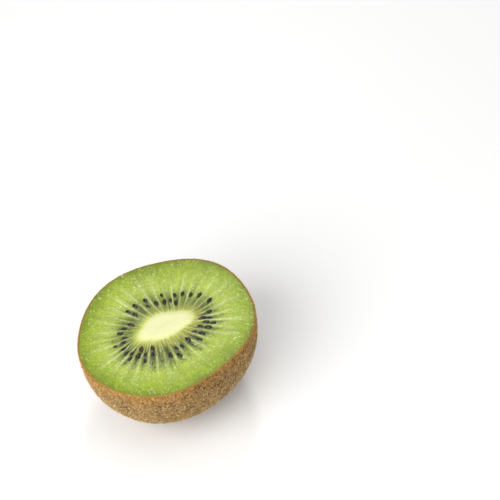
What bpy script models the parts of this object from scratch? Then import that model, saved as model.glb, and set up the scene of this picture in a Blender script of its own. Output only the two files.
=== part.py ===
"""Kiwi fruit half, cut across and standing on its stem end.

The half is one solid. A turned blank is warped to the fruit's oval, slightly
leaning and uneven form, and the seeds that show at the cut are fused to it.
X runs along the long axis of the cut face and Z points up out of it. The origin
is under the middle of the cut face, on the surface that the half stands on.
"""

import math
import random

import bmesh
import bpy
from mathutils import Matrix, Vector, noise

MM = 0.001

# The whole half
HALF_LENGTH = 27.0 * MM  # of the cut face, along X
HALF_WIDTH = 24.3 * MM  # of the cut face, along Y
HEIGHT = 31.0 * MM  # from the surface below up to the cut
DOME_POWER = 2.45  # the dome's side: 2 is an ellipse, more is blunter
EDGE_RADIUS = 0.4 * MM  # between the cut and the skin
LEAN = Vector((2.7, 3.0, 0.0)) * MM  # how far the stem end lies off the middle
RIM_WAVES = ((3, 0.0113, -88.0), (4, 0.0065, 117.0), (5, 0.0143, 107.0))  # count, share, degrees
LUMP_HEIGHT = 0.45 * MM  # of the soft unevenness of the skin
LUMP_SIZE = 16.0 * MM

# The pale core in the middle of the cut
CORE_LONG_WAY = Vector((8.9, -1.7, 0.0)) * MM  # from its middle to the ends of its oval
CORE_SHORT_WAY = Vector((0.0, 5.0, 0.0)) * MM
CORE_MIDDLE = Vector((-0.15, -0.1, 0.0)) * MM
CORE_WAVES = ((3, 0.047, -92.0), (4, 0.042, -17.0), (5, 0.020, 128.0), (6, 0.017, 122.0))
CORE_RISE = 0.35 * MM

# The wet ring of seed chambers round the core
CHAMBERS = 36
RING_DEPTH = 0.25 * MM
RING_END = 0.62  # where the ring runs out, as a share of the way from core to rim
WALL_HEIGHT = 0.16 * MM  # of the ribs between the chambers

# The seeds
SEED_LENGTH = 2.15 * MM
SEED_WIDTH = 1.3 * MM
SEED_THICKNESS = 1.0 * MM
SEED_TAPER = 0.45  # how much narrower a seed is at its inner end
SEED_SHOWING = 0.12 * MM  # how far its middle lies above the flesh
SEED_COUNTS = (0, 1, 1, 1, 2, 2, 2)  # drawn from, for the seeds in a chamber
SEED_MIDDLES = (0.17, 0.35)  # where the middle of a chamber's seeds lies, core to rim
SEED_SPACING = 0.13  # from one seed to the next in a chamber, core to rim
SEED_SHIFT = 0.015  # the most that a seed lies off its place, core to rim
SEED_SWERVE = 0.22  # the most that it lies beside its chamber's middle, in chambers
SEED_SIZES = (0.8, 1.16)  # shares of the size above
SEED_TURN = 0.28  # the most that it is turned from the core, in radians
SEED_DRAW = 8059

# The stem end below
FOOT_RADIUS = 7.4 * MM  # of the flat spot that it stands on
FOOT_INNER_RADIUS = 5.3 * MM
HOLLOW_RADIUS = 4.4 * MM
HOLLOW_DEPTH = 1.2 * MM
STEM_RADIUS = 3.0 * MM
STEM_GAP = 0.4 * MM  # between the stem's scar and the surface below
SCAR_RADIUS = 1.6 * MM
SCAR_DEPTH = 0.35 * MM

# How finely it is made
STEPS_ROUND = 3 * CHAMBERS  # one on each rib and two in each chamber
CORE_RINGS = (-0.55, -0.25, -0.06)
FLESH_RINGS = (0.05, 0.12, 0.20, 0.28, 0.37, 0.48, RING_END, 0.80)
DOME_RINGS = 11
SEED_SIDES = 6
SEED_RINGS = 4
MERGE_DISTANCE = 0.01 * MM

# Colour, roughness
FINISHES = {
    "flesh": ((0.40, 0.53, 0.07, 1.0), 0.35),
    "core": ((0.87, 0.86, 0.48, 1.0), 0.5),
    "skin": ((0.33, 0.21, 0.09, 1.0), 0.9),
    "stem": ((0.14, 0.08, 0.035, 1.0), 0.9),
    "seed": ((0.022, 0.014, 0.016, 1.0), 0.3),
}


def clear_scene():
    for obj in list(bpy.data.objects):
        bpy.data.objects.remove(obj)


def new_collection(name):
    collection = bpy.data.collections.new(name)
    bpy.context.scene.collection.children.link(collection)
    return collection


def new_object(name, mesh, collection):
    obj = bpy.data.objects.new(name, mesh)
    collection.objects.link(obj)
    return obj


def make_material(name):
    colour, roughness = FINISHES[name]
    material = bpy.data.materials.new(name)
    material.diffuse_color = colour
    material.use_nodes = True
    shader = material.node_tree.nodes["Principled BSDF"]
    shader.inputs["Base Color"].default_value = colour
    shader.inputs["Roughness"].default_value = roughness
    return material


def evaluated_mesh(obj):
    """The mesh of obj with its modifiers applied."""
    graph = bpy.context.evaluated_depsgraph_get()
    return bpy.data.meshes.new_from_object(obj.evaluated_get(graph))


def smooth_step(low, high, value):
    """0 up to low, 1 from high on, and a smooth rise between them."""
    share = min(1.0, max(0.0, (value - low) / (high - low)))
    return share * share * (3.0 - 2.0 * share)


def swell(waves, angle):
    """How far an oval swells outwards at an angle, as a share of its size."""
    return sum(
        share * math.cos(count * angle - math.radians(phase)) for count, share, phase in waves
    )


def rim_point(angle, waves=1.0):
    """A point of the oval outline of the cut face, with the given share of its waves."""
    size = 1.0 + waves * swell(RIM_WAVES, angle)
    return Vector((HALF_LENGTH * math.cos(angle), HALF_WIDTH * math.sin(angle), 0.0)) * size


def rim_middle():
    """The middle of the outline's own box, which the origin lies under."""
    points = [rim_point(math.radians(degree)) for degree in range(360)]
    xs = [point.x for point in points]
    ys = [point.y for point in points]
    return Vector((min(xs) + max(xs), min(ys) + max(ys), 0.0)) / 2.0


def core_point(angle):
    """A point of the core's outline, a slanting oval drawn out to soft corners."""
    oval = CORE_LONG_WAY * math.cos(angle) + CORE_SHORT_WAY * math.sin(angle)
    return CORE_MIDDLE + oval * (1.0 + swell(CORE_WAVES, angle))


def face_point(angle, way):
    """A point of the cut: way is -1 at the core's middle, 0 at its outline and 1 at the rim."""
    core = core_point(angle)
    if way < 0.0:
        return CORE_MIDDLE.lerp(core, 1.0 + way)
    rim = rim_point(angle) * (1.0 - EDGE_RADIUS / HALF_LENGTH)
    return core.lerp(rim, way)


def face_relief(angle, way):
    """How far the cut stands above its plane: raised core, sunken ring and its ribs."""
    core = CORE_RISE * (1.0 - smooth_step(-0.4, 0.05, way))
    in_ring = smooth_step(-0.02, 0.10, way) * (1.0 - smooth_step(0.36, RING_END, way))
    rib = max(0.0, math.cos(CHAMBERS * angle))
    return core + in_ring * (WALL_HEIGHT * rib - RING_DEPTH)


def blank_profile():
    """(radius, height) of the turned blank, from the middle of the cut down to the stem."""
    flat = HALF_LENGTH - EDGE_RADIUS
    face = [(flat * (way + 1.0) / 2.0, HEIGHT) for way in (-1.0, *CORE_RINGS, 0.0, *FLESH_RINGS, 1.0)]
    slant = EDGE_RADIUS * (1.0 - math.sqrt(0.5))
    edge = [(HALF_LENGTH - slant, HEIGHT - slant)]

    # The dome runs from the edge's foot down to where it is as narrow as the flat spot.
    foot_share = FOOT_RADIUS / HALF_LENGTH
    dome_depth = HEIGHT / (1.0 - foot_share**DOME_POWER) ** (1.0 / DOME_POWER)
    first = math.asin((EDGE_RADIUS / dome_depth) ** (DOME_POWER / 2.0))
    last = math.acos(foot_share ** (DOME_POWER / 2.0))
    dome = []
    for ring in range(DOME_RINGS):
        turn = first + (last - first) * ring / (DOME_RINGS - 1)
        radius = HALF_LENGTH * math.cos(turn) ** (2.0 / DOME_POWER)
        depth = dome_depth * math.sin(turn) ** (2.0 / DOME_POWER)
        dome.append((radius, max(0.0, HEIGHT - depth)))

    stem = [
        (FOOT_INNER_RADIUS, 0.0),
        (HOLLOW_RADIUS, HOLLOW_DEPTH),
        (STEM_RADIUS, HOLLOW_DEPTH),
        (STEM_RADIUS - STEM_GAP, STEM_GAP),
        (SCAR_RADIUS, STEM_GAP),
        (0.0, STEM_GAP + SCAR_DEPTH),
    ]
    return face + edge + dome + stem


def turned_blank(collection):
    """The profile turned into a round solid by a Screw modifier."""
    blank = bmesh.new()
    points = [blank.verts.new((radius, 0.0, height)) for radius, height in blank_profile()]
    for upper, lower in zip(points, points[1:]):
        blank.edges.new((upper, lower))
    mesh = bpy.data.meshes.new("blank")
    blank.to_mesh(mesh)
    blank.free()
    obj = new_object("blank", mesh, collection)
    screw = obj.modifiers.new("turn", "SCREW")
    screw.steps = STEPS_ROUND
    screw.render_steps = STEPS_ROUND
    screw.use_merge_vertices = True
    screw.merge_threshold = MERGE_DISTANCE
    return obj


def warped(point):
    """Where a point of the round blank lies on the fruit, before it is centred."""
    angle = math.atan2(point.y, point.x)
    radius = math.hypot(point.x, point.y)
    if point.z > HEIGHT - MERGE_DISTANCE:
        way = 2.0 * radius / (HALF_LENGTH - EDGE_RADIUS) - 1.0
        flat = face_point(angle, way)
        return Vector((flat.x, flat.y, HEIGHT + face_relief(angle, way)))
    down = 1.0 - point.z / HEIGHT
    side = rim_point(angle, 1.0 - down) * (radius / HALF_LENGTH) + LEAN * down**2
    lump = noise.noise(Vector((side.x, side.y, point.z)) / LUMP_SIZE)
    in_dome = math.sin(math.pi * min(1.0, down)) * radius / HALF_LENGTH
    side *= 1.0 + in_dome * lump * LUMP_HEIGHT / HALF_LENGTH
    return Vector((side.x, side.y, point.z))


def finish_of(centre):
    """The name of the finish at a point of the round blank."""
    radius = centre.to_2d().length
    if centre.z > HEIGHT - EDGE_RADIUS / 2.0:
        return "core" if radius < (HALF_LENGTH - EDGE_RADIUS) / 2.0 else "flesh"
    in_hollow = radius < FOOT_INNER_RADIUS * 0.9 and centre.z < HOLLOW_DEPTH * 1.1
    return "stem" if in_hollow else "skin"


def make_body(collection):
    """The fruit half without its seeds."""
    blank = turned_blank(collection)
    mesh = evaluated_mesh(blank)
    bpy.data.objects.remove(blank)
    for name in ("flesh", "core", "skin", "stem"):
        mesh.materials.append(make_material(name))
    for face in mesh.polygons:
        face.material_index = mesh.materials.find(finish_of(face.center))
    for vertex in mesh.vertices:
        vertex.co = warped(vertex.co)
    return new_object("kiwi_half", mesh, collection)


def seed_mesh():
    """One seed: a flattened drop, round at its outer end (+X) and pointed at its inner end."""
    seed = bmesh.new()
    turn = Matrix.Rotation(math.radians(90.0), 4, "Y")
    bmesh.ops.create_uvsphere(
        seed, u_segments=SEED_SIDES, v_segments=SEED_RINGS, radius=1.0, matrix=turn
    )
    for vertex in seed.verts:
        inward = (1.0 - vertex.co.x) / 2.0
        narrow = 1.0 - SEED_TAPER * inward**2
        vertex.co.x *= SEED_LENGTH / 2.0
        vertex.co.y *= SEED_WIDTH / 2.0 * narrow
        vertex.co.z *= SEED_THICKNESS / 2.0 * narrow
    mesh = bpy.data.meshes.new("seed")
    seed.to_mesh(mesh)
    seed.free()
    mesh.materials.append(make_material("seed"))
    return mesh


def seed_places():
    """(angle, way, size, turn) of each seed that shows, chamber by chamber."""
    draw = random.Random(SEED_DRAW)
    places = []
    for chamber in range(CHAMBERS):
        middle = draw.uniform(*SEED_MIDDLES)
        count = draw.choice(SEED_COUNTS)
        for number in range(count):
            swerve = draw.uniform(-SEED_SWERVE, SEED_SWERVE)
            angle = (chamber + 0.5 + swerve) * math.tau / CHAMBERS
            way = middle + SEED_SPACING * (number - (count - 1) / 2.0)
            way += draw.uniform(-SEED_SHIFT, SEED_SHIFT)
            size = draw.uniform(*SEED_SIZES)
            places.append((angle, way, size, draw.uniform(-SEED_TURN, SEED_TURN)))
    return places


def make_seeds(collection):
    """The seeds, half sunk in the ring and pointing roughly at the core."""
    mesh = seed_mesh()
    for number, (angle, way, size, turn) in enumerate(seed_places()):
        middle = face_point(angle, way)
        outward = face_point(angle, way + 0.1) - middle
        middle.z = HEIGHT - RING_DEPTH + SEED_SHOWING
        seed = new_object(f"seed_{number}", mesh, collection)
        seed.location = middle
        seed.rotation_euler.z = math.atan2(outward.y, outward.x) + turn
        seed.scale = (size, size, size)


def fuse(body, seeds):
    """Joins the seeds to the body with one Boolean union, and removes them."""
    union = body.modifiers.new("fuse seeds", "BOOLEAN")
    union.operation = "UNION"
    union.operand_type = "COLLECTION"
    union.collection = seeds
    union.solver = "EXACT"
    union.material_mode = "TRANSFER"
    bpy.context.view_layer.update()
    mesh = evaluated_mesh(body)
    body.modifiers.clear()
    body.data = mesh
    for seed in list(seeds.objects):
        bpy.data.objects.remove(seed)
    bpy.data.collections.remove(seeds)


def main():
    clear_scene()
    collection = new_collection("kiwi_fruit_half")
    body = make_body(collection)
    seeds = new_collection("seeds")
    make_seeds(seeds)
    fuse(body, seeds)
    body.data.transform(Matrix.Translation(-rim_middle()))
    body.data.shade_smooth()
    body.data.set_sharp_from_angle(angle=math.radians(35.0))


main()
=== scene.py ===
"""Looks of the kiwi fruit half: wet cut flesh round a cream core, glossy seeds and a fuzzy skin.

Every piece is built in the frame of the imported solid, in metres, from the same sizes that the
solid has, so that each one lies where the solid is.
"""

import logging
import math
import random
from collections.abc import Sequence
from dataclasses import dataclass, field
from enum import Enum
from typing import ClassVar

import bmesh
import bpy
import numpy as np
from mathutils import Matrix, Vector, noise
from mathutils.kdtree import KDTree


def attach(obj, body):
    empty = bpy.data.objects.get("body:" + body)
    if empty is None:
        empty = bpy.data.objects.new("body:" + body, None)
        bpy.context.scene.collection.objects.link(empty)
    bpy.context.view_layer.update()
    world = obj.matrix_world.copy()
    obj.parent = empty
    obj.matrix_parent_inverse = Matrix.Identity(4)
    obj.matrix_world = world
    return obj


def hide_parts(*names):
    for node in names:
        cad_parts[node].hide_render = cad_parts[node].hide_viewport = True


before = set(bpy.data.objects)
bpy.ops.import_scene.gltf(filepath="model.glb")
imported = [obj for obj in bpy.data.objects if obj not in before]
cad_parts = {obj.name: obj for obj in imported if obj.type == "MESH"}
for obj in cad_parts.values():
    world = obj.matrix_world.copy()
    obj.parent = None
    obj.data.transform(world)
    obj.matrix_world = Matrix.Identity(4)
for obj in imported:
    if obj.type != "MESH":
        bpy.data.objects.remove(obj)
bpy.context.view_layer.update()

LOG = logging.getLogger("kiwi_fruit_half")
MM = 0.001
BODY = "root"
NODE = "kiwi_half"
PHOTO_PIXELS = 500

Pair = tuple[float, float]
Colour = tuple[float, float, float, float]
Stops = Sequence[tuple[float, Colour]]
Waves = tuple[tuple[int, float, float], ...]
Socket = bpy.types.NodeSocket
Material = bpy.types.Material
Mesh = bpy.types.Mesh
Piece = bpy.types.Object


class Slot(Enum):
    """The material slots of the record."""

    FLESH = "flesh"
    SKIN = "skin"
    SEED = "seed"
    STEM = "stem"


def shade(red: int, green: int, blue: int) -> Colour:
    """A colour named by its 8-bit screen values.

    Args:
        red: from 0 to 255.
        green: from 0 to 255.
        blue: from 0 to 255.

    Returns:
        The linear values that shaders take, with an alpha of 1.
    """
    shares = (value / 255.0 for value in (red, green, blue))
    parts = [share / 12.92 if share <= 0.04045 else ((share + 0.055) / 1.055) ** 2.4 for share in shares]
    return (parts[0], parts[1], parts[2], 1.0)


def smooth_step(low: float | np.ndarray, high: float | np.ndarray, value: np.ndarray) -> np.ndarray:
    """0 up to low, 1 from high on, and a smooth rise between them."""
    share = np.clip((value - low) / (high - low), 0.0, 1.0)
    return share * share * (3.0 - 2.0 * share)


def noise_at(points: np.ndarray, size: float) -> np.ndarray:
    """Soft noise from about -1 to 1.

    Args:
        points: N rows of x, y, z.
        size: the width of one swell, in the unit of the points.

    Returns:
        One value a point.
    """
    return np.array([noise.noise(Vector(point)) for point in points / size])


def swell(waves: Waves, angle: np.ndarray) -> np.ndarray:
    """How far an oval swells outwards at each angle, as a share of its size."""
    return sum(share * np.cos(count * angle - math.radians(phase)) for count, share, phase in waves)


def wrapped(angle: np.ndarray) -> np.ndarray:
    """Angles taken to the turn from -pi to pi."""
    return (angle + math.pi) % math.tau - math.pi


def polar(points: np.ndarray) -> tuple[np.ndarray, np.ndarray]:
    """The angle of each point round Z, and its distance from Z."""
    return np.arctan2(points[:, 1], points[:, 0]), np.hypot(points[:, 0], points[:, 1])


def moved(shape: np.ndarray, matrix: Matrix) -> np.ndarray:
    """Points carried by a matrix, as N rows of x, y, z."""
    plain = np.array(matrix)
    return shape @ plain[:3, :3].T + plain[:3, 3]


def direction(azimuth: float, elevation: float) -> Vector:
    """The way from the fruit to a camera or light, by its angles in radians."""
    level = math.cos(elevation)
    return Vector((math.sin(azimuth) * level, -math.cos(azimuth) * level, math.sin(elevation)))


@dataclass(frozen=True)
class FruitForm:
    """The sizes of the solid, and where a point of its round blank lies on the fruit."""

    half_length: float = 27.0 * MM
    half_width: float = 24.3 * MM
    height: float = 31.0 * MM
    dome_power: float = 2.45
    edge_radius: float = 0.4 * MM
    lean: Pair = (2.7 * MM, 3.0 * MM)
    rim_waves: Waves = (
        (3, 0.0113, -88.0),
        (4, 0.0065, 117.0),
        (5, 0.0143, 107.0),
    )
    lump_height: float = 0.45 * MM
    lump_size: float = 16.0 * MM
    core_long_way: Pair = (8.9 * MM, -1.7 * MM)
    core_short_way: Pair = (0.0, 5.0 * MM)
    core_middle: Pair = (-0.15 * MM, -0.1 * MM)
    core_waves: Waves = (
        (3, 0.047, -92.0),
        (4, 0.042, -17.0),
        (5, 0.020, 128.0),
        (6, 0.017, 122.0),
    )
    core_rise: float = 0.35 * MM
    core_shoulder: Pair = (-0.4, 0.05)
    chambers: int = 36
    ring_depth: float = 0.25 * MM
    ring_start: Pair = (-0.02, 0.10)
    ring_end: Pair = (0.36, 0.62)
    wall_height: float = 0.16 * MM
    foot_radius: float = 7.4 * MM
    foot_inner_radius: float = 5.3 * MM
    hollow_radius: float = 4.4 * MM
    hollow_depth: float = 1.2 * MM

    @property
    def flat_radius(self) -> float:
        """The blank's radius at the outer end of the flat cut."""
        return self.half_length - self.edge_radius

    def rim(self, angle: np.ndarray, waves: float | np.ndarray = 1.0) -> np.ndarray:
        """Points of the oval outline of the cut.

        Args:
            angle: the angles round the fruit.
            waves: the share of the outline's unevenness, from 0 to 1.

        Returns:
            N rows of x, y.
        """
        oval = np.stack([self.half_length * np.cos(angle), self.half_width * np.sin(angle)], axis=-1)
        return oval * (1.0 + waves * swell(self.rim_waves, angle))[:, None]

    def middle(self) -> np.ndarray:
        """The middle of the outline's own box, which lies over the origin."""
        points = self.rim(np.radians(np.arange(360)))
        return (points.min(axis=0) + points.max(axis=0)) / 2.0

    def core(self, angle: np.ndarray) -> np.ndarray:
        """Points of the core's outline, a slanting oval with soft corners, as rows of x, y."""
        oval = np.outer(np.cos(angle), self.core_long_way) + np.outer(np.sin(angle), self.core_short_way)
        return np.array(self.core_middle) + oval * (1.0 + swell(self.core_waves, angle))[:, None]

    def cut(self, angle: np.ndarray, way: np.ndarray) -> np.ndarray:
        """Points of the cut, before they are centred.

        Args:
            angle: the angles round the fruit.
            way: -1 at the core's middle, 0 at its outline and 1 at the rim.

        Returns:
            N rows of x, y.
        """
        core = self.core(angle)
        middle = np.array(self.core_middle)
        inner = middle + (core - middle) * (1.0 + np.minimum(way, 0.0))[:, None]
        rim = self.rim(angle) * (1.0 - self.edge_radius / self.half_length)
        outer = core + (rim - core) * way[:, None]
        return np.where((way < 0.0)[:, None], inner, outer)

    def relief(self, angle: np.ndarray, way: np.ndarray) -> np.ndarray:
        """How far the solid's cut stands above its plane: core, sunken ring and its ribs.

        Args:
            angle: the angles round the fruit.
            way: the ways from core to rim.

        Returns:
            One height a point.
        """
        core = self.core_rise * (1.0 - smooth_step(*self.core_shoulder, way))
        in_ring = smooth_step(*self.ring_start, way) * (1.0 - smooth_step(*self.ring_end, way))
        rib = np.maximum(0.0, np.cos(self.chambers * angle))
        return core + in_ring * (self.wall_height * rib - self.ring_depth)

    def side(self, angle: np.ndarray, radius: np.ndarray, height: np.ndarray) -> np.ndarray:
        """Where points of the blank's dome lie on the fruit.

        Args:
            angle: the angles round the blank.
            radius: their distances from its axis.
            height: their heights above the surface below.

        Returns:
            N rows of x, y, z in the solid's frame.
        """
        down = 1.0 - height / self.height
        flat = self.rim(angle, 1.0 - down) * (radius / self.half_length)[:, None]
        flat = flat + np.array(self.lean) * (down**2)[:, None]
        lump = noise_at(np.column_stack([flat, height]), self.lump_size)
        in_dome = np.sin(math.pi * np.clip(down, 0.0, 1.0)) * radius / self.half_length
        flat = flat * (1.0 + in_dome * lump * self.lump_height / self.half_length)[:, None]
        return np.column_stack([flat - self.middle(), height])

    def dome(self, rings: int, inset: float = 0.0) -> list[Pair]:
        """(radius, height) down the dome, from the cut's edge to the flat spot below.

        Args:
            rings: how many points.
            inset: how far inside the skin's surface.

        Returns:
            The points, from the top down.
        """
        foot_share = self.foot_radius / self.half_length
        depth = self.height / (1.0 - foot_share**self.dome_power) ** (1.0 / self.dome_power)
        first = math.asin((self.edge_radius / depth) ** (self.dome_power / 2.0))
        last = math.acos(foot_share ** (self.dome_power / 2.0))
        points = []
        for ring in range(rings):
            turn = first + (last - first) * ring / (rings - 1)
            radius = self.half_length * math.cos(turn) ** (2.0 / self.dome_power)
            height = self.height - depth * math.sin(turn) ** (2.0 / self.dome_power)
            points.append((radius - inset, max(0.0, height) + inset * ring / (rings - 1)))
        return points


@dataclass(frozen=True)
class SeedPlace:
    """Where one seed lies: its angle, its way from core to rim, its size and its turn."""

    angle: float
    way: float
    size: float
    turn: float

    def middle(self, form: FruitForm) -> np.ndarray:
        """x and y of the seed's middle, before the cut is centred."""
        return form.cut(np.array([self.angle]), np.array([self.way]))[0]

    def heading(self, form: FruitForm) -> float:
        """The direction of its outer end, as an angle from +X."""
        outward = form.cut(np.array([self.angle]), np.array([self.way + 0.1]))[0] - self.middle(form)
        return math.atan2(outward[1], outward[0]) + self.turn


@dataclass(frozen=True)
class SeedPlan:
    """The rule by which seeds lie in the chambers, drawn as the solid's own seeds are."""

    counts: tuple[int, ...] = (0, 1, 1, 1, 2, 2, 2)
    middles: Pair = (0.17, 0.35)
    spacing: float = 0.13
    shift: float = 0.015
    swerve: float = 0.22
    sizes: Pair = (0.8, 1.16)
    turn: float = 0.28
    draw: int = 8059

    def places(self, form: FruitForm) -> list[SeedPlace]:
        """The seeds that show at the cut, chamber by chamber."""
        draw = random.Random(self.draw)
        found = []
        for chamber in range(form.chambers):
            middle = draw.uniform(*self.middles)
            count = draw.choice(self.counts)
            for number in range(count):
                swerve = draw.uniform(-self.swerve, self.swerve)
                angle = (chamber + 0.5 + swerve) * math.tau / form.chambers
                way = middle + self.spacing * (number - (count - 1) / 2.0)
                way += draw.uniform(-self.shift, self.shift)
                size = draw.uniform(*self.sizes)
                found.append(SeedPlace(angle, way, size, draw.uniform(-self.turn, self.turn)))
        return found


@dataclass(frozen=True)
class Grain:
    """One noise of a finish: its scale, how many finer layers it has, and how rough they are."""

    scale: float
    detail: float = 2.0
    rough: float = 0.5
    stretch: tuple[float, float, float] = (1.0, 1.0, 1.0)


class Dressing:
    """A material's node tree, with one short method for each kind of node that is used."""

    def __init__(self, name: str) -> None:
        """Makes the material with its shader and output."""
        self.material = bpy.data.materials.new(name)
        self.material.use_nodes = True
        self.tree = self.material.node_tree
        self.shader = self.tree.nodes["Principled BSDF"]

    def fill(self, socket: Socket, value: object) -> None:
        """Gives an input a link, if value is an output, or else the plain value."""
        if isinstance(value, Socket):
            self.tree.links.new(value, socket)
        else:
            socket.default_value = value

    def set(self, **values: object) -> None:
        """Sets the shader's own inputs; coat_weight=1.0 sets Coat Weight."""
        for name, value in values.items():
            words = name.replace("_", " ").title().replace("Ior", "IOR")
            self.fill(self.shader.inputs[words], value)

    def node(self, kind: str, inputs: dict[str | int, object], **settings: str) -> bpy.types.Node:
        """Adds one node.

        Args:
            kind: its type, without the ShaderNode that every type begins with.
            inputs: a link or a value for each input that is set, by name or number.
            settings: the node's own settings, such as its operation.

        Returns:
            The node.
        """
        node = self.tree.nodes.new("ShaderNode" + kind)
        for name, value in settings.items():
            setattr(node, name, value)
        for name, value in inputs.items():
            self.fill(node.inputs[name], value)
        return node

    def attribute(self, name: str) -> Socket:
        """A vector kept on the piece's points."""
        return self.node("Attribute", {}, attribute_name=name).outputs["Vector"]

    def place(self) -> Socket:
        """Object coordinates, in metres."""
        return self.node("TexCoord", {}).outputs["Object"]

    def parts(self, vector: Socket) -> tuple[Socket, ...]:
        """A vector's three values."""
        return tuple(self.node("SeparateXYZ", {0: vector}).outputs)

    def stretched(self, vector: Socket, shares: Sequence[float]) -> Socket:
        """A vector with each of its values multiplied."""
        return self.node("VectorMath", {0: vector, 1: shares}, operation="MULTIPLY").outputs[0]

    def noise(self, vector: Socket, grain: Grain) -> Socket:
        """Noise from 0 to 1."""
        inputs = {"Vector": self.stretched(vector, grain.stretch), "Scale": grain.scale}
        inputs |= {"Detail": grain.detail, "Roughness": grain.rough}
        return self.node("TexNoise", inputs).outputs[0]

    def cells(self, vector: Socket, scale: float) -> tuple[Socket, ...]:
        """The distance from each cell's own point, and the cell's own random colour."""
        node = self.node("TexVoronoi", {"Vector": vector, "Scale": scale})
        return node.outputs["Distance"], node.outputs["Color"]

    def most(self, first: object, second: object) -> Socket:
        """The larger of two values."""
        return self.node("Math", {0: first, 1: second}, operation="MAXIMUM").outputs[0]

    def times(self, first: object, second: object) -> Socket:
        """Two values multiplied."""
        return self.node("Math", {0: first, 1: second}, operation="MULTIPLY").outputs[0]

    def plus(self, first: object, second: object, share: float = 1.0) -> Socket:
        """The first value and a share of the second."""
        return self.node("Math", {0: second, 1: share, 2: first}, operation="MULTIPLY_ADD").outputs[0]

    def span(
        self,
        value: Socket,
        low: float,
        high: float,
        start: float = 0.0,
        end: float = 1.0,
        kind: str = "SMOOTHSTEP",
    ) -> Socket:
        """A value from low to high, taken to one from start to end."""
        inputs = {"Value": value, "From Min": low, "From Max": high, "To Min": start, "To Max": end}
        return self.node("MapRange", inputs, interpolation_type=kind).outputs["Result"]

    def ramp(self, value: Socket, stops: Stops) -> Socket:
        """A colour for each value.

        Args:
            value: from 0 to 1.
            stops: the place and the colour of each stop.

        Returns:
            The colour.
        """
        node = self.node("ValToRGB", {0: value})
        elements = node.color_ramp.elements
        while len(elements) < len(stops):
            elements.new(0.5)
        for element, (position, colour) in zip(elements, stops):
            element.position = position
            element.color = colour
        return node.outputs["Color"]

    def mix(self, factor: object, first: object, second: object) -> Socket:
        """Two colours mixed."""
        return self.node("Mix", {0: factor, 6: first, 7: second}, data_type="RGBA").outputs[2]

    def toned(self, colour: Socket, value: Socket, low: float, high: float, *shares: float) -> Socket:
        """A colour times the first to the second share, as a value goes from low to high."""
        amount = self.span(value, low, high, *shares)
        return self.node("VectorMath", {0: colour, "Scale": amount}, operation="SCALE").outputs[0]

    def bump(self, height: object, distance: float, **under: Socket) -> Socket:
        """A normal that follows a height from 0 to 1, distance metres deep, over another Normal."""
        return self.node("Bump", {"Height": height, "Distance": distance, **under}).outputs["Normal"]


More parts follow.
